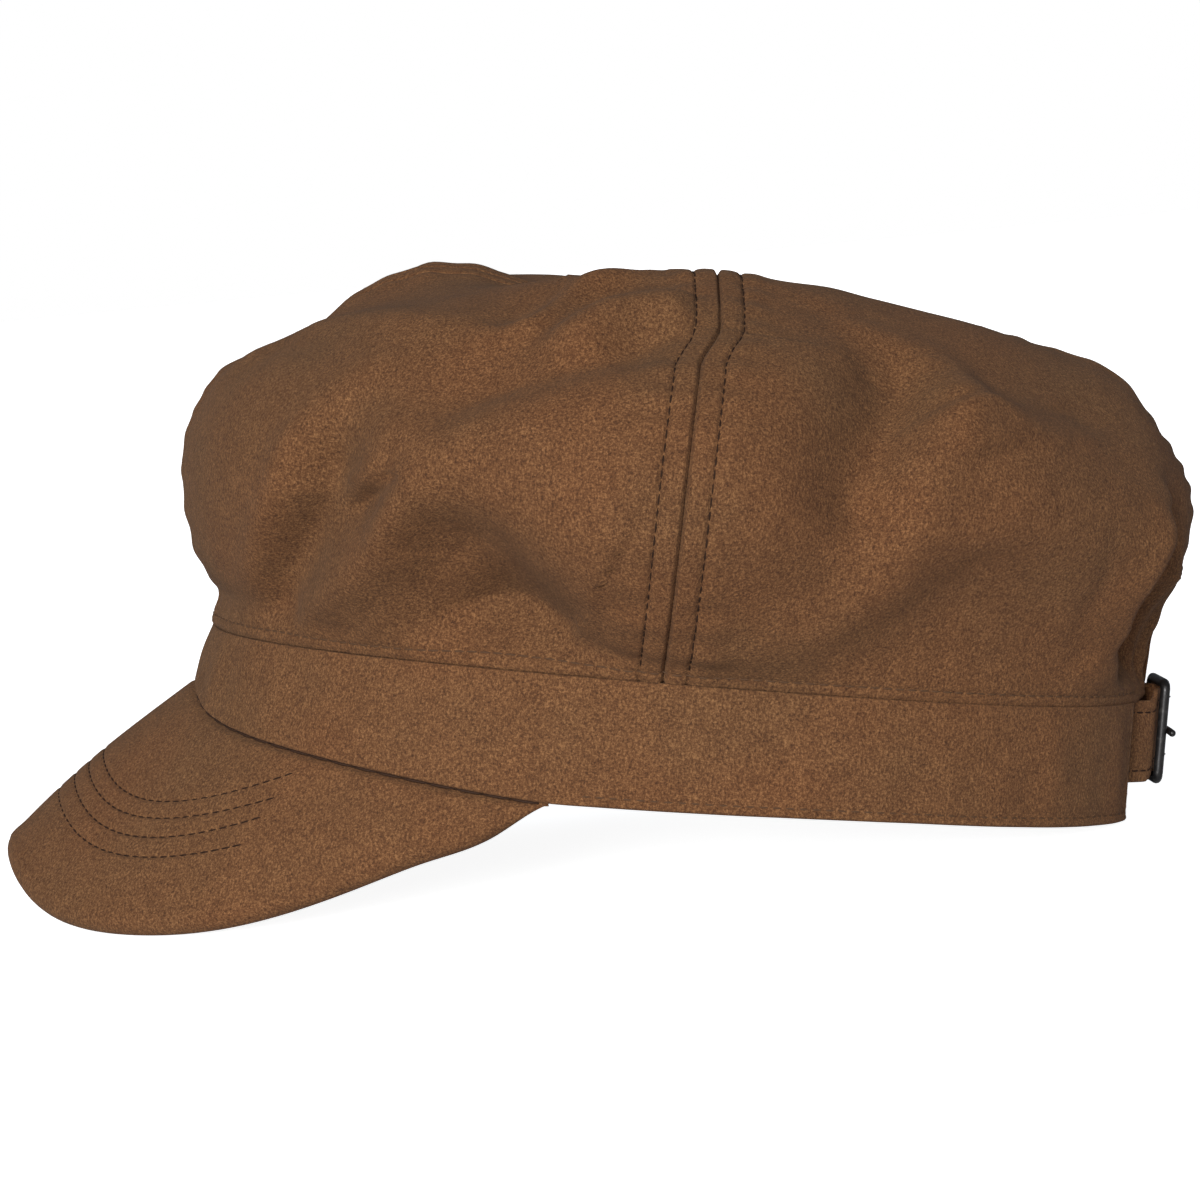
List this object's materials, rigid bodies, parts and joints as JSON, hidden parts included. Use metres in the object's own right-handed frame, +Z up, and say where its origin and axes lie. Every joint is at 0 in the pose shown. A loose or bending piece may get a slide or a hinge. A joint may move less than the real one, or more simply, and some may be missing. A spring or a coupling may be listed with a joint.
{
  "type": "newsboy cap",
  "caption": "Soft four-panel newsboy cap with a full crown, an upright band, a curved stiff visor and a buckled back strap.",
  "frame": {"origin": "centre of the head opening, in the plane of the band's lower edge behind the visor", "axes": "+Z up through the crown, -Y forwards over the visor, +X towards the wearer's left"},
  "size_m": [0.2088, 0.254, 0.1522],
  "materials": {
    "crown_wool": "matte",
    "band_wool": "matte",
    "visor_wool": "matte",
    "lining": "satin",
    "sweatband_cotton": "matte",
    "elastic": "matte",
    "buckram": "matte",
    "visor_board": "satin",
    "label": "satin",
    "black_metal": "satin",
    "tin": "satin"
  },
  "bodies": {
    "cap": {"crown_panel_front_left": "crown_wool", "crown_panel_front_right": "crown_wool", "crown_panel_back_left": "crown_wool", "crown_panel_back_right": "crown_wool", "crown_button_cover": "crown_wool", "crown_button_shell": "tin", "lining_panel_front_left": "lining", "lining_panel_front_right": "lining", "lining_panel_back_left": "lining", "lining_panel_back_right": "lining", "band_outer": "band_wool", "band_stiffener": "buckram", "sweatband": "sweatband_cotton", "back_elastic": "elastic", "size_label": "label", "visor_top_cover": "visor_wool", "visor_board": "visor_board", "visor_under_cover": "visor_wool", "strap_long": "band_wool", "strap_tab": "band_wool", "tail_loop": "band_wool"},
    "buckle_frame": {"buckle_frame": "black_metal"},
    "buckle_prong": {"buckle_prong": "black_metal"}
  },
  "joints": [
    {"name": "buckle_frame_hinge", "type": "hinge", "parent": "cap", "child": "buckle_frame", "pos_m": [-0.00726, 0.10574, 0.02027], "axis": [0, 0, 1], "range_deg": [0, 35]},
    {"name": "buckle_prong_hinge", "type": "hinge", "parent": "buckle_frame", "child": "buckle_prong", "pos_m": [-0.00726, 0.10574, 0.02027], "axis": [0, 0, 1], "range_deg": [0, 30]}
  ]
}
